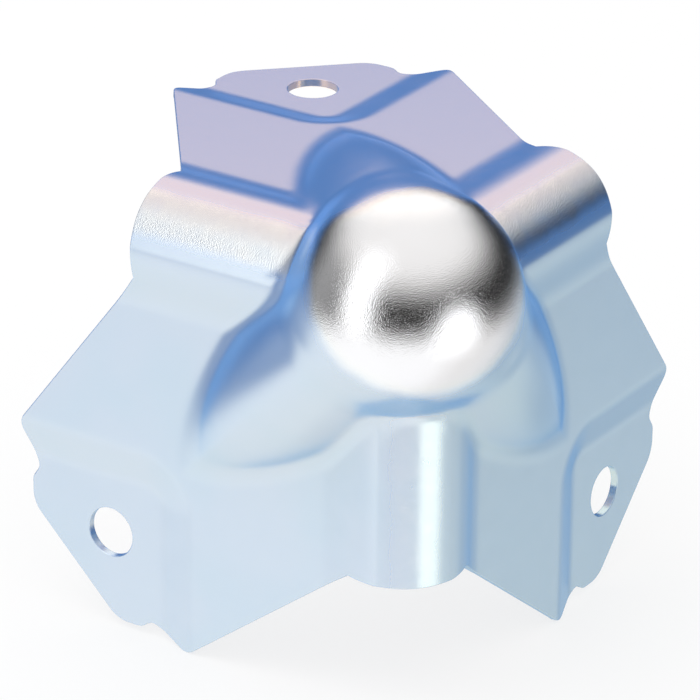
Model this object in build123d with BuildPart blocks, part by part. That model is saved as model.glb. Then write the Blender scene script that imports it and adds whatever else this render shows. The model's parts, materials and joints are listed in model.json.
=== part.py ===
"""A three-way ball corner for a case with metal edging, pressed from one blank of steel sheet.

Millimetres, +Z up. The three panels of the case meet at the origin: the front panel's outer face
is the plane y = 0, the right panel's is x = 0 and the top panel's is z = 0, and the case lies
towards -X, +Y and -Z. The corner covers them from outside. On each panel it has

- a flat tab that lies on the panel and takes one rivet,
- two bands, along the panel's two edges, raised by the thickness of the edging that they cover,
- a sloping crank that joins the tab to the bands,
- a hood, a long low dome that runs from the ball to the crank's inner corner.

Along each edge of the case a round bead joins the bands of two panels, and a ball covers the
point where the three edges meet. Every wall is the same sheet, so the part is an outer form
less the same form drawn in by one sheet thickness, cut to the outline of the blank.
"""
import os
from math import atan2, cos, degrees, sin, sqrt, tan

from build123d import *

# Sheet, and the edging that the bands cover
sheet = 1.0              # thickness of the steel
edging_width = 29.5      # flat width of each band, from the panel's edge
edging_lift = 1.3        # height of the bands' inner face above the panel

# Crank between a band and the tab
crank_run = 4.5          # width of the slope
crank_corner = 2.4       # radius of the tab's inner corner, at the foot of the slope
crease_round = 0.8       # inside radius of both folds of the slope

# Bead along each edge of the case
bead_radius = 6.8        # outside radius
bead_rise = 1.3          # height of the bead's crown above the bands
bead_length = 36.6       # from the corner of the panels to the cut end

# Ball and hoods
ball_radius = 13.0       # outside radius
ball_depth = 2.6         # depth of the ball's centre below all three panels
nose_radius = 3.0        # outside radius of the round nose at the hood's end
nose_rise = 1.4          # height of the nose's crest above the bands
nose_setback = 1.5       # distance of the nose's centre from the crank, along both edges
hood_crown = 110.0       # radius of the long curve between ball and nose
valley_round = 1.5       # outside fillet of every valley between bands, beads and domes

# Rivet hole in each tab
rivet_bore = 6.2         # diameter
rivet_margin = 7.7       # distance of the hole from the foot of the crank, along both edges

# Outline of the blank on one panel
leg_root = 6.8           # where the bead's straight end turns into the slanting leg
leg_overhang = 1.1       # the leg's tip reaches this far past the tab's lobe
tip_margin = 0.5         # the tip's distance past the band
notch_depth = 2.2        # floor of the notch, back from the tip
notch_margin = 1.8       # the notch's distance past the crank
lobe_margin = 1.6        # start of the tab's round lobe, past the notch
lobe_width = 11.4        # distance of the lobe's straight side from the rivet hole
lobe_drop = 0.9          # the straight side ends this far short of the rivet hole
tip_round = 2.4
notch_round = 1.2
lobe_round = 4.0

# One plane per panel: x and y run along its two edges, away from the corner, and z faces out
panels = [
    Plane(origin=(0, 0, 0), x_dir=(-1, 0, 0), z_dir=(0, -1, 0)),
    Plane(origin=(0, 0, 0), x_dir=(0, 0, -1), z_dir=(1, 0, 0)),
    Plane(origin=(0, 0, 0), x_dir=(0, 1, 0), z_dir=(0, 0, 1)),
]
band_height = edging_lift + sheet            # outer face of the bands above the panel
bead_depth = bead_radius - bead_rise - band_height  # depth of the bead's axis below both panels
crank_end = edging_width + crank_run         # foot of the slope, where the tab begins
rivet_reach = crank_end + rivet_margin
lobe_reach = rivet_reach + lobe_width
leg_reach = lobe_reach + leg_overhang        # distance of the leg's tip from the corner of the case
uncut = 2 * leg_reach                        # size of the forms before the blank is cut out
past = 2 * (bead_radius + ball_radius)       # how far a cutting shape runs past the corner
near = (uncut + leg_reach) / 2               # between the part's reach and the uncut forms' far ends
same_height = 0.001                          # heights this close are taken as equal
smooth = 1.0                                 # faces that meet at fewer degrees need no fillet
ball_centre = Vector(-ball_depth, ball_depth, -ball_depth)


def hood(panel, inset):
    """The ball's third that belongs to one panel, drawn out into that panel's hood.

    It is one turned shape about the line from the ball's centre to the nose's. Its profile is
    the ball's arc, the crown's long arc tangent to it, and the nose's arc.
    """
    ball, nose, crown = (radius - inset for radius in (ball_radius, nose_radius, hood_crown))
    reach = edging_width - nose_setback
    height = band_height + nose_rise - nose_radius
    tip = (panel.x_dir + panel.y_dir) * reach + panel.z_dir * height
    length = (tip - ball_centre).length
    crown_x = ((crown - ball) ** 2 - (crown - nose) ** 2 + length**2) / (2 * length)
    crown_y = -sqrt((crown - ball) ** 2 - crown_x**2)
    start = atan2(-crown_y, -crown_x)
    end = atan2(-crown_y, length - crown_x)
    along = Plane(origin=ball_centre, x_dir=tip - ball_centre, z_dir=panel.x_dir - panel.y_dir)

    def on_arc(x, y, radius, angle):
        return (x + radius * cos(angle), y + radius * sin(angle))

    with BuildPart() as third:
        with BuildSketch(along):
            with BuildLine():
                ball_end = on_arc(0, 0, ball, start)
                ball_arc = RadiusArc((-ball, 0), ball_end, ball)
                crown_middle = on_arc(crown_x, crown_y, crown, (start + end) / 2)
                crown_end = on_arc(crown_x, crown_y, crown, end)
                ThreePointArc(ball_end, crown_middle, crown_end)
                nose_middle = on_arc(length, 0, nose, end / 2)
                nose_arc = ThreePointArc(crown_end, nose_middle, (length + nose, 0))
                Line(nose_arc @ 1, ball_arc @ 0)
            make_face()
        revolve(axis=Axis(ball_centre, tip - ball_centre))
        for edge_dir in (panel.x_dir, panel.y_dir):
            split(bisect_by=Plane((0, 0, 0), z_dir=edge_dir + panel.z_dir), keep=Keep.TOP)
    return third.part


def is_near(edge):
    """Whether an edge lies on the part, rather than at the uncut forms' far ends."""
    return max(abs(distance) for distance in edge.center()) < near


def creases(form, height):
    """The edges of every tab's slope that lie at the given height over its panel."""
    found = ShapeList()
    for panel in panels:
        for edge in form.edges().filter_by(is_near):
            ends = [panel.to_local_coords(edge @ position) for position in (0, 1)]
            if all(abs(end.Z - height) < same_height and min(end.X, end.Y) > 0 for end in ends):
                found.append(edge)
    return found


def is_sharp(edge, faces):
    """Whether two of the faces meet in the edge at an angle, rather than smoothly."""
    normals = [face.normal_at(edge @ 0.5) for face in faces if edge in face.edges()]
    return len(normals) == 2 and normals[0].get_angle(normals[1]) > smooth


def pressed_form(inset):
    """The solid under the sheet's outer face, with every face drawn in by inset."""
    band = band_height - inset
    tab = sheet - inset
    slope = atan2(edging_lift, crank_run)
    slope_start = edging_width - inset * tan(slope / 2)
    with BuildPart() as form:
        # The block under the bands, its three long edges cut back to make room for the beads
        with Locations((band, -band, band)):
            Box(uncut, uncut, uncut, align=(Align.MAX, Align.MIN, Align.MAX))
        chamfer(form.edges().sort_by_distance(form.vertices().sort_by_distance((0, 0, 0))[0])[:3],
                bead_depth + band)

        # Each tab is sunk below the bands, with a slope between them
        for panel in panels:
            with BuildSketch(panel.offset(band)) as sunk:
                with Locations((slope_start, slope_start)):
                    Rectangle(uncut, uncut, align=Align.MIN)
                fillet(sunk.vertices().sort_by_distance((0, 0, 0))[0], crank_corner + crank_run)
            extrude(amount=-edging_lift, taper=90 - degrees(slope), mode=Mode.SUBTRACT)
        fillet(creases(form, band), crease_round + sheet - inset)
        fillet(creases(form, tab), crease_round + inset)

        # Beads, ball and hoods
        for panel in panels:
            inward = panel.y_dir - panel.z_dir
            with BuildSketch(Plane(inward * bead_depth, x_dir=inward, z_dir=panel.x_dir)):
                Circle(bead_radius - inset)
            extrude(amount=uncut)
        for panel in panels:
            add(hood(panel, inset))

        # Where they rise from the block and from each other, the valleys are rounded
        faces = form.faces()
        valleys = form.edges().filter_by(lambda edge: is_near(edge) and is_sharp(edge, faces))
        fillet(valleys, valley_round + inset)
    return form.part


# The blank: on each panel an outline that runs past both of the panel's edges
notch = (leg_reach - notch_depth, crank_end + notch_margin)
half_outline = [
    ((bead_length, -past), 0),
    ((bead_length, leg_root), 0),
    ((leg_reach, edging_width + tip_margin), tip_round),
    (notch, notch_round),
    ((lobe_reach, notch[1] + lobe_margin), notch_round),
    ((lobe_reach, rivet_reach - lobe_drop), lobe_round),
]
other_half = [((y, x), radius) for (x, y), radius in reversed(half_outline)]
outline = half_outline + other_half + [((-past, -past), 0)]

with BuildPart() as blank:
    for panel in panels:
        with BuildSketch(panel.offset(-bead_depth)):
            with BuildLine():
                FilletPolyline([point for point, _ in outline],
                               radius=[radius for _, radius in outline], close=True)
            make_face()
        extrude(amount=past)

with BuildPart() as corner_shell:
    add(pressed_form(0))
    add(pressed_form(sheet), mode=Mode.SUBTRACT)
    add(blank.part, mode=Mode.INTERSECT)
    for panel in panels:
        with BuildSketch(panel):
            with Locations((rivet_reach, rivet_reach)):
                Circle(rivet_bore / 2)
        extrude(amount=past, both=True, mode=Mode.SUBTRACT)

corner_shell.part.label = "corner_shell"
os.makedirs("parts", exist_ok=True)
export_step(corner_shell.part, "parts/corner_shell.step")
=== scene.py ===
# %% [markdown]
# # A pressed case corner, dressed for its picture
#
# The part is one piece of thin sheet steel, pressed into a corner with a ball at its point, a
# round bead along each edge of the case and a hood running out over each face. It is zinc plated
# and passivated, so it is silvery where the press has polished it and pale blue elsewhere.
#
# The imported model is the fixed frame. Everything below is built around it and moves nothing.

# %% Load the frame
import json
import math

import bmesh
import bpy
import numpy as np
from mathutils import Matrix, Vector
from mathutils.geometry import delaunay_2d_cdt


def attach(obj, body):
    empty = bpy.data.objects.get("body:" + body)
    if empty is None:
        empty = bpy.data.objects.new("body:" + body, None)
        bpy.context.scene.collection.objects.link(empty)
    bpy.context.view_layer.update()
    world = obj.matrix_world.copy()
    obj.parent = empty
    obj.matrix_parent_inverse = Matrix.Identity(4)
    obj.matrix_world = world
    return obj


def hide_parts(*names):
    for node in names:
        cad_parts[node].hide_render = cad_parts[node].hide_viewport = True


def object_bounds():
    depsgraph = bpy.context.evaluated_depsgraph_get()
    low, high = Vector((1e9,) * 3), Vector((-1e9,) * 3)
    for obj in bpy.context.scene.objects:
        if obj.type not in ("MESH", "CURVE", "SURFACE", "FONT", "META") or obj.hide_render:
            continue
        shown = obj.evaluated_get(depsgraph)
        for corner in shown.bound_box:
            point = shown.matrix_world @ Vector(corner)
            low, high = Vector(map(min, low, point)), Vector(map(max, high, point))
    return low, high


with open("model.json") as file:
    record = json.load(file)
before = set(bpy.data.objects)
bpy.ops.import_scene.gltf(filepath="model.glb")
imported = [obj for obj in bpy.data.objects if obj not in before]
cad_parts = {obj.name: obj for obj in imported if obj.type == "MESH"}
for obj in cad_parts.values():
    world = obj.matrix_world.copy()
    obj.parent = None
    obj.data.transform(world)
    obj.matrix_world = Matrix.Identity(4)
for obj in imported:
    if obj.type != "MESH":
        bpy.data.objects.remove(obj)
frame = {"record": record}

cad_low, cad_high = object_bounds()
print("packed box, mm:", [round(1000 * (b - a), 2) for a, b in zip(cad_low, cad_high)])

# %% [markdown]
# ## Three heights instead of x, y and z
#
# The part looks the same over the case's front, right and top panel. So every point is written
# as its three heights over those panels: (over the right, over the top, over the front) for the
# front's share of the part, and the same in turn for the other two. Then one formula makes one
# third of the part, and the other two thirds are the same points with their heights swapped.
# All sizes are millimetres until the mesh is made.

# %% Sizes of the sheet, the flats, the beads and the ball
MM = 0.001
sheet = 1.0
edging_width = 29.5        # flat width of the bands that cover the case's edging
band_height = 2.3          # outer face of the bands, over the panel
crank_run = 4.5            # width of the slope down to the tab
crank_corner = 2.4         # radius of the tab's inner corner
bead_radius = 6.8
bead_depth = 3.2           # the bead's axis, under both panels
bead_length = 36.6
ball_radius = 12.72        # the blends below add another quarter of a millimetre
ball_depth = 2.6           # the ball's centre, under all three panels

rivet = next(mount for mount in frame["record"]["mounts"] if mount["name"] == "front_rivet")
rivet_reach = -rivet["pos_m"][0] / MM
rivet_radius = rivet["dims"]["r_mm"]
print(f"rivet hole: radius {rivet_radius} mm, {rivet_reach:.1f} mm from both edges")

# %% [markdown]
# ## The hood
#
# A hood is the softest form of the pressing: it leaves the ball as a round ridge, sinks slowly
# and ends in a point at the tab's corner. A turned shape would be too stiff for it. So it has a
# crest, curved gently along and across, and a footprint of two arcs whose sides lean in as they
# rise. Beside the ball it sinks into the ball, so that no ring shows where it starts.

# %% Sizes of the hood
hood_start = 3.7           # the ball's centre, along the panel's diagonal from the corner
hood_top = 9.5             # height of the crest over the panel, before it starts to sink
hood_crown = 100.0         # radius of the crest's long curve
hood_round = (13.0, 26.0)  # radius across the crest, beside the ball and at the far end
hood_widens = (8.0, 32.0)  # that radius grows between these distances along the hood
crest_side = 0.95          # past this share of the radius, the crest goes on level
hood_length = 43.0         # from the ball's centre to the pointed end of the footprint
hood_width = 11.4          # half the footprint's width beside the ball
hood_lean = 0.75           # how far the sides lean in, for each millimetre up
hood_inset = 7.5           # nearer to the ball's centre than this, the hood sinks into the ball
inset_run = 12.0           # the larger, the more slowly it does so
side_inset = 0.4           # the sides draw in by this share of what the crest sinks
hood_root = 1.0            # the hood's body starts this far along and ends this far under the panel
print(f"hood: {hood_length} mm long, {2 * hood_width} mm wide, {hood_top - band_height:.1f} mm over the bands")

# %% [markdown]
# ## The pressed surface as a distance
#
# A pressing has no sharp valleys: metal flows from one form into the next. Meshes that are
# joined with booleans and then bevelled crack at such places, so the outer face is written as
# one signed distance instead, where the forms are joined by a smooth minimum. It rounds
# every valley by itself, and it gives the same smooth normals on both sides of it. Each pair of
# forms has a blend of its own, because the press drew some valleys softer than others.

# %% Blends
crease_blend = 0.22        # softness of the crank's two folds
bead_blend = 2.8           # how far the valleys beside the beads are filled
shoulder_blend = 4.5       # how softly a hood's crest turns down into its sides
ball_blend = 2.6           # how far the valley is filled where a hood leaves the ball
skirt_blend = 1.5          # the same, where the ball meets beads and bands
hood_blend = 1.1           # the same, round the hoods' feet


def fade(value, low, high):
    """0 at low and 1 at high, with a smooth change between them."""
    part = np.clip((value - low) / (high - low), 0, 1)
    return part * part * (3 - 2 * part)


def smooth_min(a, b, width):
    near = np.maximum(width - np.abs(a - b), 0) / width
    return np.minimum(a, b) - near * near * width / 4


def smooth_max(a, b, width):
    return -smooth_min(-a, -b, width)


print("two walls that meet with a blend of 2 mm gain", -smooth_min(0.0, 0.0, 2.0), "mm in the corner")


# %% Flats and beads
def flat_height(u, v):
    """Height of the outer face of band, crank and tab, at u and v from the panel's edges."""
    corner = edging_width + crank_run + crank_corner
    reach = corner - np.hypot(np.maximum(corner - u, 0), np.maximum(corner - v, 0))
    slope = band_height - (band_height - sheet) * (reach - edging_width) / crank_run
    return smooth_max(smooth_min(slope, band_height, crease_blend), sheet, crease_blend)


def block_distance(a, b, c):
    """The bands and tabs, with the case's edges cut back to make room for the beads."""
    body = c - flat_height(-a, -b)
    for side in (a, b):
        body = np.maximum(body, side - band_height)
    cut = band_height - bead_depth
    for one, two in ((a, b), (b, c), (c, a)):
        body = np.maximum(body, (one + two - cut) / math.sqrt(2))
    return body


def bead_distance(a, b, c):
    """Three round beads that start at the corner and run along the case's edges."""
    a, b, c = (height + bead_depth for height in (a, b, c))
    beads = [np.sqrt(x * x + y * y + np.maximum(z, 0) ** 2) for x, y, z in ((a, b, c), (b, c, a), (c, a, b))]
    return np.minimum.reduce(beads) - bead_radius


print(f"outer faces over the panel: band {flat_height(15, 15):.2f} mm, tab {flat_height(45, 45):.2f} mm")


# %% Hoods
def inside_ball(along):
    """How far a hood draws in beside the ball's centre, so that it grows out of the ball."""
    return np.maximum(hood_inset - along, 0) ** 2 / inset_run


def hood_height(along, across):
    """Height of a hood's crest over its panel, curved gently along it and across it."""
    near, far = hood_round
    radius = near + (far - near) * fade(along, *hood_widens)
    side = np.minimum(np.abs(across), crest_side * radius)
    crest = hood_top - along * along / (2 * hood_crown) - inside_ball(along)
    return crest - radius + np.sqrt(radius * radius - side * side)


def hood_distance(a, b, c):
    """One hood: what lies both under its crest and inside the leaning sides of its footprint."""
    along = -(a + b) / math.sqrt(2) - hood_start
    across = np.abs(a - b) / math.sqrt(2)
    tiny = 0.01
    height = hood_height(along, across)
    slope_along = (hood_height(along + tiny, across) - height) / tiny
    slope_across = (hood_height(along, across + tiny) - height) / tiny
    crest = (c - height) / np.sqrt(1 + slope_along ** 2 + slope_across ** 2)
    arc = (hood_length ** 2 + hood_width ** 2) / (2 * hood_width)
    footprint = np.hypot(along, across + arc - hood_width) - arc
    sides = footprint + hood_lean * (c - band_height) + side_inset * inside_ball(along)
    body = smooth_max(crest, sides / math.hypot(1, hood_lean), shoulder_blend)
    return np.maximum.reduce([body, hood_root - along, -hood_root - c])


for along in (10.0, 25.0, 40.0):
    print(f"hood's crest, {along:.0f} mm from the ball's centre: {hood_height(along, 0.0):.2f} mm high")


# %% The whole outer face
def ball_distance(a, b, c):
    return np.sqrt((a + ball_depth) ** 2 + (b + ball_depth) ** 2 + (c + ball_depth) ** 2) - ball_radius


def outer_distance(point):
    a, b, c = point[..., 0], point[..., 1], point[..., 2]
    flats = smooth_min(block_distance(a, b, c), bead_distance(a, b, c), bead_blend)
    hoods = np.minimum.reduce([hood_distance(a, b, c), hood_distance(b, c, a), hood_distance(c, a, b)])
    ball = ball_distance(a, b, c)
    return smooth_min(smooth_min(flats, ball, skirt_blend), smooth_min(hoods, ball, ball_blend), hood_blend)


def drop_onto(start, direction, steps=140, reach=0.9):
    """Moves points along a direction until they meet the outer face."""
    point = start.copy()
    for _ in range(steps):
        point = point + direction * (reach * outer_distance(point))[..., None]
    return point


far_out = 30.0             # height over the panels from which points are dropped
down = np.array([0, 0, -1.0])
into_edge = np.array([0, -1, -1]) / math.sqrt(2)
into_corner = np.full(3, -1 / math.sqrt(3))
over_ball = np.array([[-ball_depth, -ball_depth, far_out]])
print(f"height straight over the ball's centre: {drop_onto(over_ball, down)[0, 2]:.2f} mm")

# %% [markdown]
# ## The outline of the blank
#
# Each face of the part ends in a slanting leg on both sides, a notch, and a tab with a round
# lobe. The outline is a short list of corners, each with a radius, and a small helper walks
# round it in even steps, because the mesh needs a point about every half millimetre.

# %% Lines with rounded corners
step = 0.45


def evenly(path):
    """The same line with its long stretches divided."""
    points = [path[0]]
    for one, two in zip(path, path[1:]):
        pieces = max(1, math.ceil(np.linalg.norm(two - one) / step))
        points += [one + (two - one) * k / pieces for k in range(1, pieces + 1)]
    return points


def rounded(corners, radii):
    """Points in even steps along a line of corners, with an arc at each corner that has a radius."""
    path = [np.array(corners[0], float)]
    for before, here, after, radius in zip(corners, corners[1:], corners[2:], radii[1:]):
        here = np.array(here, float)
        one, two = np.array(before) - here, np.array(after) - here
        one, two = one / np.linalg.norm(one), two / np.linalg.norm(two)
        half = math.acos(np.clip(one @ two, -1, 1)) / 2
        if radius == 0:
            path.append(here)
            continue
        centre = here + (one + two) / np.linalg.norm(one + two) * radius / math.sin(half)
        start = here + one * radius / math.tan(half) - centre
        turn = math.copysign(math.pi - 2 * half, start[0] * (here - centre)[1] - start[1] * (here - centre)[0])
        for part in np.linspace(0, 1, math.ceil(abs(turn) * radius / step) + 1):
            cos, sin = math.cos(turn * part), math.sin(turn * part)
            path.append(centre + np.array([cos * start[0] - sin * start[1], sin * start[0] + cos * start[1]]))
    path.append(np.array(corners[-1], float))
    return evenly(path)


square = rounded([(0, 0), (10, 0), (10, 10)], [0, 3, 0])
print("a 10 mm corner with a radius of 3 mm:", len(square), "points")

# %% Outline of one face
leg_root, leg_reach, leg_tip = 6.8, 54.2, 30.0
notch_reach, notch_at = 52.0, 35.8
lobe_reach, lobe_from, lobe_to = 53.1, 37.4, 40.8
tip_round, notch_round, lobe_round = 2.4, 1.2, 4.0

bead_root = drop_onto(np.array([[-bead_length, far_out, far_out]]), into_edge)[0]
half = [(bead_length, -bead_root[1]), (bead_length, leg_root), (leg_reach, leg_tip), (notch_reach, notch_at),
        (lobe_reach, lobe_from), (lobe_reach, lobe_to)]
corners = half + [(v, u) for u, v in reversed(half)]
radii = [0, 0, tip_round, notch_round, notch_round, lobe_round]
radii = radii + radii[::-1]
outline = rounded(corners, radii)
print("outline:", len(outline), "points")

# %% [markdown]
# ## One third of the skin
#
# Two more lines close the outline: the mirror planes that run along the crowns of two beads to
# the ball. The inside is filled with an even triangular lattice, a Delaunay triangulation ties
# all the points together, and then each point drops onto the outer face. A lattice of this
# kind has no poles and no long slivers, which a mirror finish would show at once.

# %% Close the outline over the beads and the ball
crown_count = math.ceil((bead_length + ball_depth) / step)
crown_u = np.linspace(bead_length, ball_depth - ball_radius / math.sqrt(3), crown_count)
mirror_start = np.stack([-crown_u, np.full(crown_count, far_out), np.full(crown_count, far_out)], -1)
mirror_line = drop_onto(mirror_start, into_edge)
point_of_ball = drop_onto(np.full((1, 3), far_out), into_corner)[0]
mirror_line = mirror_line[-mirror_line[:, 0] > -point_of_ball[0] + step / 2]
mirror_uv = [(-a, -b) for a, b, _ in mirror_line]
ball_uv = (-point_of_ball[0], -point_of_ball[1])
border = [tuple(p) for p in outline[:-1]]
border += [(v, u) for u, v in mirror_uv] + [ball_uv] + mirror_uv[:0:-1]
hole_points = 64
turns = np.linspace(0, 2 * math.pi, hole_points, endpoint=False)
hole = [(rivet_reach + rivet_radius * math.cos(t), rivet_reach + rivet_radius * math.sin(t)) for t in turns]
print("border:", len(border), "points; the ball's point is", round(-ball_uv[0], 2), "mm over each panel")


# %% Fill it with a lattice
def inside(points, ring):
    """Whether each point lies inside a closed ring, by counting crossings."""
    ring = np.array(ring)
    after = np.roll(ring, -1, axis=0)
    crossings = np.zeros(len(points), int)
    for (x1, y1), (x2, y2) in zip(ring, after):
        if y1 == y2:
            continue
        spans = (points[:, 1] > min(y1, y2)) & (points[:, 1] <= max(y1, y2))
        crossings += spans & (points[:, 0] < x1 + (points[:, 1] - y1) * (x2 - x1) / (y2 - y1))
    return crossings % 2 == 1


def clear_of(points, ring, gap):
    """Which points lie further from the ring than gap."""
    keep = np.ones(len(points), bool)
    for x, y in ring:
        keep &= (points[:, 0] - x) ** 2 + (points[:, 1] - y) ** 2 > gap * gap
    return keep


past_ball = -10            # further over the panels' edges than any point of the part's third
rows = np.arange(past_ball, leg_reach, step * math.sqrt(3) / 2)
lattice = [(u + (k % 2) * step / 2, v) for k, v in enumerate(rows) for u in np.arange(past_ball, leg_reach, step)]
lattice = np.array(lattice)
lattice = lattice[inside(lattice, border)]
lattice = lattice[clear_of(lattice, border, 0.6 * step)]
lattice = lattice[np.hypot(*(lattice - rivet_reach).T) > rivet_radius + 0.5 * step]
print("lattice:", len(lattice), "points")

# %% Triangulate it and drop it onto the outer face
flat = [Vector(p) for p in border + hole] + [Vector(p) for p in lattice]
rings = [list(range(len(border))), list(range(len(border), len(border) + len(hole)))]
edges = [(ring[k], ring[(k + 1) % len(ring)]) for ring in rings for k in range(len(ring))]
inside_border = 1          # the kind of answer: only the triangles inside the closed lines
same_point = 1e-6
uv, _, triangles, _, _, _ = delaunay_2d_cdt(flat, edges, [], inside_border, same_point)
uv = np.array([tuple(p) for p in uv])
triangles = np.array(triangles)
triangles = triangles[~inside(uv[triangles].mean(1), hole)]
third = drop_onto(np.column_stack([-uv, np.full(len(uv), far_out)]), down)
print("one third:", len(third), "points,", len(triangles), "triangles")

# %% [markdown]
# ## Three thirds make the skin
#
# Turning the list of heights by one place turns the part by a third about its own diagonal. The
# thirds meet on the mirror planes, where their points coincide, so the seams can be welded.
# Only now do the heights become x, y and z: x is the height over the right panel, z over the
# top panel, and y points into the case, so it is the height over the front panel with its sign
# changed.

# %% Join the thirds
weld_distance = 0.01
skin = bpy.data.meshes.new("pressed_shell")
draft = bmesh.new()
for turn in range(3):
    turned = np.roll(third, turn, axis=1)
    points = [draft.verts.new((right * MM, -front * MM, top * MM)) for right, top, front in turned]
    for one, two, three in triangles:
        draft.faces.new((points[one], points[two], points[three]))
before = len(draft.verts)
bmesh.ops.remove_doubles(draft, verts=draft.verts, dist=weld_distance * MM)
open_edges = sum(len(edge.link_faces) == 1 for edge in draft.edges)
print(f"skin: {len(draft.verts)} points, {before - len(draft.verts)} welded, {open_edges} open edges")
draft.to_mesh(skin)
draft.free()
skin.shade_smooth()
shell = bpy.data.objects.new("pressed_shell", skin)
bpy.context.scene.collection.objects.link(shell)

# %% [markdown]
# ## Give the skin its thickness
#
# A Solidify modifier draws the skin inwards by the thickness of the sheet, just as the real
# outside and inside are one sheet apart. The shear leaves a sharp edge, but plating and
# handling round it a little, so a narrow Bevel catches the light along every cut edge.

# %% Thickness and cut edges
edge_round = 0.12
thickness = shell.modifiers.new("sheet", "SOLIDIFY")
thickness.thickness = sheet * MM
thickness.offset = -1
thickness.use_even_offset = True
thickness.use_quality_normals = True
cut_edges = shell.modifiers.new("cut_edges", "BEVEL")
cut_edges.width = edge_round * MM
cut_edges.segments = 2
cut_edges.limit_method = "ANGLE"
cut_edges.angle_limit = math.radians(50)
cut_edges.harden_normals = True
print(f"sheet of {sheet} mm, its cut edges rounded by {edge_round} mm")

# %% [markdown]
# ## Where the press has polished the plate
#
# The dies rub hardest on what stands out furthest: the ball and the crowns of the beads. There
# the plate is bright, and elsewhere satin. On the ball, the angle from the corner's diagonal
# tells how far out a point is, and the polish ends sooner towards the top. On a bead, the height
# along the diagonal of its two panels tells it, and the side towards the top panel stays satin.
# The value is kept on the mesh as an attribute, so that the material can read it.
#
# Two more attributes say which points face up and which face right. They carry painted sheen:
# a darker lilac tint on top and a cyan one on the right are painted into the metal, for the colour
# the film shows at the angle those faces are seen at.

# %% Heights and normals of the mesh's points
spots = np.empty(len(skin.vertices) * 3)
skin.vertices.foreach_get("co", spots)
heights = spots.reshape(-1, 3)[:, [0, 2, 1]] * [1, 1, -1] / MM
normals = np.empty(len(heights) * 3, np.float32)
skin.vertices.foreach_get("normal", normals)
normals = normals.reshape(-1, 3)


def keep_on_mesh(name, values):
    layer = skin.attributes.new(name, "FLOAT", "POINT")
    layer.data.foreach_set("value", values.astype(np.float32))


print("highest point over each panel, mm:", heights.max(axis=0).round(2))

# %% Polish on the ball and the beads
bare_within, film_beyond = 56, 84          # degrees from the corner's diagonal
sooner_at_top = 16                         # degrees
from_ball = np.linalg.norm(heights + ball_depth, axis=1)
around_ball = np.degrees(np.arccos((heights + ball_depth).sum(1) / math.sqrt(3) / from_ball))
toward_top = (heights[:, 1] + ball_depth) / from_ball
ball_polish = fade(around_ball + sooner_at_top * fade(toward_top, 0.70, 0.95), film_beyond, bare_within)

bead_worn, upright_bead_worn = 0.6, 0.3    # share of the film that is gone
edge_height = np.max([heights[:, [k, (k + 1) % 3]].sum(1) for k in range(3)], axis=0) / math.sqrt(2)
on_bead = fade(edge_height, 0.9, 2.0) * fade(bead_distance(*heights.T), 0.6, 0.15)
beside_top = heights[:, 1] - np.maximum(heights[:, 0], heights[:, 2])
on_upright_bead = heights.argmin(axis=1) == 1
bead_polish = np.where(on_upright_bead, upright_bead_worn, bead_worn) * on_bead * fade(beside_top, 6.5, 2.5)

polish = np.maximum(ball_polish, bead_polish)
keep_on_mesh("polish", polish)
# Painted sheen: these two masks mark the faces that point up and right, where a darker lilac and a cyan tint are
# painted in for the film's colour at their viewing angle.
keep_on_mesh("painted_sheen_top_mask", fade(normals[:, 2], 0.55, 0.9))
keep_on_mesh("painted_sheen_right_mask", fade(normals[:, 0], 0.55, 0.9))
print("polished share of the skin:", round(float(polish.mean()), 3))

# %% [markdown]
# ## Blue-passivated zinc
#
# Bright zinc is dipped after plating, which leaves a clear, very thin film. The metal mirrors
# its surroundings through it, so a face that looks at something bright is pale. The film's colour
# also shifts with the angle a face is seen at; that is painted here as painted sheen in the metal's
# tint, by which way a face points: almost white on the front, a little cyan on the right and a
# darker lilac on top. The film also scatters a little deep blue by itself, and a face that looks at
# something dark shows only that. Two shaders make this: a metal, whose tint is its Base Color,
# mixed with a blue diffuse. A single shader with one colour would turn the dark places black
# instead of blue. The metal's own tint is warm, because the film's blue is added to it.
#
# Where the polish attribute is high the film is worn off and bare metal is left, with a mottled
# border. Two sizes of noise vary tint and gloss, and a very fine one gives the metal its grain.


# %% Helpers for node trees
def make(tree, kind, inputs=None, **settings):
    """A node with its settings, and each input set to a value or linked to a socket."""
    node = tree.nodes.new(kind)
    for name, value in settings.items():
        setattr(node, name, value)
    for key, value in (inputs or {}).items():
        if isinstance(value, bpy.types.NodeSocket):
            tree.links.new(value, node.inputs[key])
        else:
            node.inputs[key].default_value = value
    return node


def calc(tree, operation, *values):
    return make(tree, "ShaderNodeMath", dict(enumerate(values)), operation=operation).outputs[0]


def span(tree, value, low, high, to_low=0.0, to_high=1.0):
    """The value, carried smoothly from one range to another."""
    inputs = {"Value": value, "From Min": low, "From Max": high, "To Min": to_low, "To Max": to_high}
    return make(tree, "ShaderNodeMapRange", inputs, interpolation_type="SMOOTHSTEP").outputs[0]


def blend(tree, amount, one, two):
    """A mix of two colours. The three numbers are the places of a Mix node's colour inputs."""
    return make(tree, "ShaderNodeMix", {0: amount, 6: one, 7: two}, data_type="RGBA").outputs[2]


def noise(tree, place, size, detail=2.0, roughness=0.5):
    """Noise whose clouds are about size millimetres across."""
    inputs = {"Vector": place, "Scale": 1 / (size * MM), "Detail": detail, "Roughness": roughness}
    return make(tree, "ShaderNodeTexNoise", inputs).outputs["Fac"]


# %% Where the film is worn
zinc = bpy.data.materials.new("zinc_plate")
zinc.use_nodes = True
tree = zinc.node_tree
tree.nodes.clear()
place = make(tree, "ShaderNodeTexCoord").outputs["Object"]
polish_at = make(tree, "ShaderNodeAttribute", attribute_name="polish").outputs["Fac"]
# Painted sheen masks for the top and right faces.
painted_sheen_top_at = make(tree, "ShaderNodeAttribute", attribute_name="painted_sheen_top_mask").outputs["Fac"]
painted_sheen_right_at = make(tree, "ShaderNodeAttribute", attribute_name="painted_sheen_right_mask").outputs["Fac"]

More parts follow.
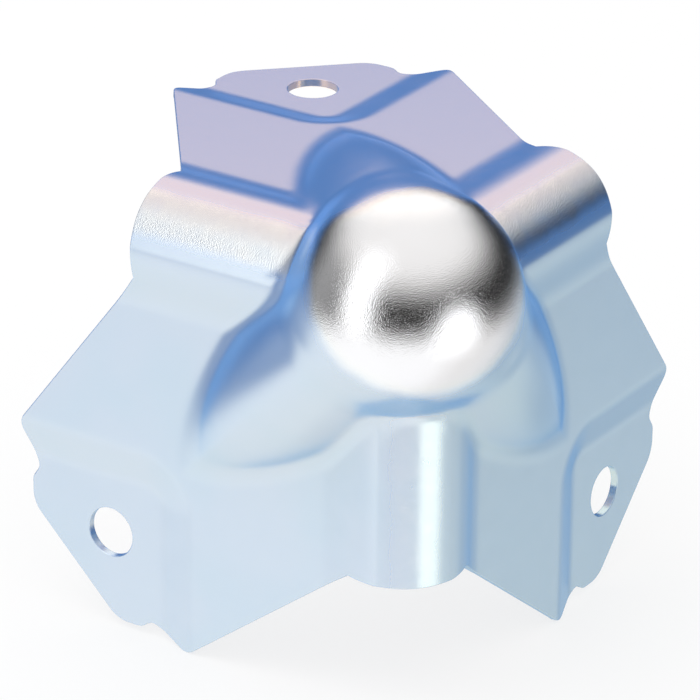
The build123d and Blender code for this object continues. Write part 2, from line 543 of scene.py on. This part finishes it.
clouds = noise(tree, place, 16)
mottle = noise(tree, place, 2.5, 3)
grain = noise(tree, place, 0.13, 1)
ragged = 0.3               # how far the mottle moves the border of the worn places
uneven = calc(tree, "SUBTRACT", mottle, 0.5)
worn = span(tree, calc(tree, "ADD", polish_at, calc(tree, "MULTIPLY", uneven, ragged)), 0.0, 1.0)
print("zinc so far:", len(tree.nodes), "nodes")

# %% Tint of the metal, with painted sheen on the right and top faces
film_blue = (0.12, 0.38, 1.00, 1)
pale_blue = (1.00, 1.00, 0.80, 1)
thicker_blue = (0.96, 0.99, 0.79, 1)
# The cyan and the darker lilac below are painted sheen: the film's colour at the angle the right and top faces are
# seen at, painted in by which way a face points.
painted_sheen_cyan = (0.93, 1.00, 0.74, 1)
painted_sheen_lilac = (1.00, 0.68, 0.34, 1)
bare_zinc = (0.90, 0.90, 0.915, 1)
film_and_painted_sheen = blend(tree, span(tree, clouds, 0.4, 0.65), pale_blue, thicker_blue)
# Painted sheen: cyan on the right face, then a darker lilac on the top face.
film_and_painted_sheen = blend(tree, painted_sheen_right_at, film_and_painted_sheen, painted_sheen_cyan)
film_and_painted_sheen = blend(tree, painted_sheen_top_at, film_and_painted_sheen, painted_sheen_lilac)
tint = blend(tree, worn, film_and_painted_sheen, bare_zinc)
print("tints of the metal on the front, right and top:", pale_blue[:3], painted_sheen_cyan[:3], painted_sheen_lilac[:3])

# %% Gloss, grain and the finished plate
satin_roughness, polished_roughness = 0.24, 0.12
uneven_roughness = 0.08
gloss = span(tree, worn, 0, 1, satin_roughness, polished_roughness)
gloss = calc(tree, "ADD", gloss, calc(tree, "MULTIPLY", uneven, uneven_roughness))

grain_depth = 0.034
satin_grain, bare_grain = 0.15, 1.0
grain_strength = span(tree, worn, 0, 1, satin_grain, bare_grain)
relief = make(tree, "ShaderNodeBump", {"Strength": grain_strength, "Distance": grain_depth * MM, "Height": grain})
metal = make(tree, "ShaderNodeBsdfPrincipled", {
    "Base Color": tint, "Metallic": 1.0, "Roughness": gloss, "Normal": relief.outputs[0],
    "Specular Tint": (0.70, 0.84, 1.00, 1)})
scatter = make(tree, "ShaderNodeBsdfDiffuse", {"Color": film_blue})
film_share = 0.4           # how much of what is seen on satin plate comes from the film
share = span(tree, worn, 0, 1, film_share, 0)
plated = make(tree, "ShaderNodeMixShader", {0: share, 1: metal.outputs[0], 2: scatter.outputs[0]})
make(tree, "ShaderNodeOutputMaterial", {"Surface": plated.outputs[0]})
skin.materials.append(zinc)
print("zinc:", len(tree.nodes), "nodes")

# %% Tell the frame what the shell is
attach(shell, "root")
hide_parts("corner_shell")
print(shell.name, "rides on root and replaces corner_shell")

# %% [markdown]
# ## The studio
#
# A polished metal shows its surroundings rather than its own colour, so the surroundings have
# to be built. Here they are a white ceiling, a bright table and, between them, the dim room at
# the height of the horizon. In that room stand a tall and a round lamp, whose reflections are
# the two highlights on the ball, and a few large bright and dim sheets that give each face
# something of its own to mirror. They are painted into the world by direction, which costs
# nothing to render. Only reflections see them: what the camera sees directly is plain white, and
# diffuse surfaces are lit evenly from all around.

# %% Directions in the world
world = bpy.data.worlds.new("studio")
bpy.context.scene.world = world
world.use_nodes = True
tree = world.node_tree
tree.nodes.clear()
degree = math.pi / 180
direction = make(tree, "ShaderNodeTexCoord").outputs["Generated"]
parts = make(tree, "ShaderNodeSeparateXYZ", {"Vector": direction}).outputs
round_about = calc(tree, "ARCTAN2", parts["X"], calc(tree, "MULTIPLY", parts["Y"], -1.0))
upward = calc(tree, "ARCSINE", parts["Z"])
print("round about is 0 in front of the part and 90 degrees at its right")

# %% Table, horizon and ceiling
levels = [(-90, 0.92), (-45, 0.88), (-35, 0.86), (-25, 0.82), (-16, 0.25), (-8, 0.06), (1, 0.02), (8, 0.015),
          (14, 0.10), (22, 0.32), (30, 0.60), (40, 0.92), (90, 1.0)]
ramp = make(tree, "ShaderNodeValToRGB", {"Fac": span(tree, upward, -90 * degree, 90 * degree)})
ramp.inputs["Fac"].links[0].from_node.interpolation_type = "LINEAR"
stops = ramp.color_ramp.elements
stops.remove(stops[0])
stops[0].position = 0
for angle, level in levels:
    stop = stops[0] if angle == -90 else stops.new((angle + 90) / 180)
    stop.color = (level, level * 0.985, level * 0.97, 1)
room = ramp.outputs["Color"]
print("the room has", len(stops), "levels of light, from straight down to straight up")


# %% Lamps and sheets that stand in the room
def sheet_of_light(centre, half_width, middle, half_height, soft):
    """Where a sheet of light stands: 1 inside it and 0 outside, in degrees round about and upward."""
    aside = calc(tree, "ABSOLUTE", calc(tree, "SUBTRACT", round_about, centre * degree))
    above = calc(tree, "ABSOLUTE", calc(tree, "SUBTRACT", upward, middle * degree))
    wide = span(tree, aside, (half_width + soft) * degree, (half_width - soft) * degree)
    high = span(tree, above, (half_height + soft) * degree, (half_height - soft) * degree)
    return calc(tree, "MULTIPLY", wide, high)


def toward(about, up):
    """The direction that is given by two angles in degrees."""
    about, up = about * degree, up * degree
    return Vector((math.sin(about) * math.cos(up), -math.cos(about) * math.cos(up), math.sin(up)))


lamp_white = (1.6, 1.6, 1.6, 1)
sheets = [
    (-66, 20, 6, 20, 10, (0.34, 0.34, 0.34, 1)),    # a dim wall on the left
    (172, 14, -32, 16, 6, (0.60, 0.60, 0.60, 1)),   # low behind the part, for the right face's crank
    (-147, 40, 44, 23, 3, (1.25, 1.20, 1.15, 1)),   # high behind the part, for the top face
    (30, 50, -60, 38, 4, (1.08, 1.08, 1.08, 1)),    # the table in front, for the upright bead
    (-60, 65, -50, 29, 6, (1.10, 1.10, 1.10, 1)),   # the table on the left, for the front face
    (-20, 15, 18, 36, 6, lamp_white),               # the tall lamp
]
for *where, light_level in sheets:
    room = blend(tree, sheet_of_light(*where), room, light_level)
round_lamp, lamp_edge, lamp_core = toward(82, -15), 25, 17
facing = make(tree, "ShaderNodeVectorMath", {0: direction, 1: round_lamp}, operation="DOT_PRODUCT").outputs["Value"]
in_lamp = span(tree, facing, math.cos(lamp_edge * degree), math.cos(lamp_core * degree))
room = blend(tree, in_lamp, room, lamp_white)
print(len(sheets), "sheets of light and a round lamp")

# %% What each kind of ray sees
white = (1, 1, 1, 1)
rays = make(tree, "ShaderNodeLightPath").outputs
seen = make(tree, "ShaderNodeBackground", {"Color": white, "Strength": 1.0}).outputs[0]
ambient = make(tree, "ShaderNodeBackground", {"Color": white, "Strength": 1.0}).outputs[0]
mirrored = make(tree, "ShaderNodeBackground", {"Color": room, "Strength": 1.0}).outputs[0]
other = make(tree, "ShaderNodeMixShader", {0: rays["Is Glossy Ray"], 1: ambient, 2: mirrored}).outputs[0]
mixed = make(tree, "ShaderNodeMixShader", {0: rays["Is Camera Ray"], 1: other, 2: seen}).outputs[0]
make(tree, "ShaderNodeOutputWorld", {"Surface": mixed})
print("studio:", len(tree.nodes), "nodes")

# %% [markdown]
# ## Floor, lamp and camera
#
# The corner stands on its lowest tips on a pale floor. The floor glows a little for the camera,
# so that it is white but still darkens where the part shades it. One large soft lamp above
# gives that shade a direction. The camera looks from the right and from above, with a long lens.

# %% Floor
floor_size, paper_grey, paper_glow = 4, 0.21, 0.75
bpy.ops.mesh.primitive_plane_add(size=floor_size, location=(0, 0, cad_low.z))
floor = bpy.context.object
floor.name = "floor"
floor.visible_glossy = False
floor.visible_shadow = False
paper = bpy.data.materials.new("paper")
paper.use_nodes = True
tree = paper.node_tree
tree.nodes.clear()
matt = make(tree, "ShaderNodeBsdfDiffuse", {"Color": (paper_grey, paper_grey, paper_grey, 1)}).outputs[0]
glow = make(tree, "ShaderNodeEmission", {"Color": white, "Strength": paper_glow}).outputs[0]
both = make(tree, "ShaderNodeAddShader", {0: matt, 1: glow}).outputs[0]
camera_ray = make(tree, "ShaderNodeLightPath").outputs["Is Camera Ray"]
surface = make(tree, "ShaderNodeMixShader", {0: camera_ray, 1: matt, 2: both}).outputs[0]
make(tree, "ShaderNodeOutputMaterial", {"Surface": surface})
floor.data.materials.append(paper)
print(f"floor at {1000 * cad_low.z:.2f} mm")

# %% Lamp
light = bpy.data.lights.new("soft_box", "AREA")
light.shape = "DISK"
light.size = 0.8
light.energy = 3.0
soft_box = bpy.data.objects.new("soft_box", light)
soft_box.location = (-0.2, -0.3, 0.9)
soft_box.rotation_euler = (-soft_box.location).to_track_quat("-Z", "Y").to_euler()
soft_box.visible_camera = False
soft_box.visible_glossy = False
bpy.context.scene.collection.objects.link(soft_box)
print(f"soft box: {light.energy:.0f} W, {soft_box.location.length:.2f} m away")

# %% Camera
azimuth, elevation, roll = 33.08 * degree, 24.36 * degree, 0.6 * degree
distance, aside, lift = 575.63 * MM, -7.4 * MM, -6.98 * MM
back = Vector((math.sin(azimuth) * math.cos(elevation), -math.cos(azimuth) * math.cos(elevation), math.sin(elevation)))
level = Vector((math.cos(azimuth), math.sin(azimuth), 0))
upright = back.cross(level)
right = math.cos(roll) * level + math.sin(roll) * upright
up = math.cos(roll) * upright - math.sin(roll) * level
lens = bpy.data.cameras.new("camera")
lens.sensor_width = 36
lens.lens = 265.6
camera = bpy.data.objects.new("camera", lens)
camera.matrix_world = Matrix((right, up, back)).transposed().to_4x4()
camera.location = right * aside + up * lift + back * distance
bpy.context.scene.collection.objects.link(camera)
bpy.context.scene.camera = camera
bpy.context.scene.view_settings.view_transform = "Standard"
print(f"camera: {lens.lens:.1f} mm lens, {camera.location.length:.3f} m away")
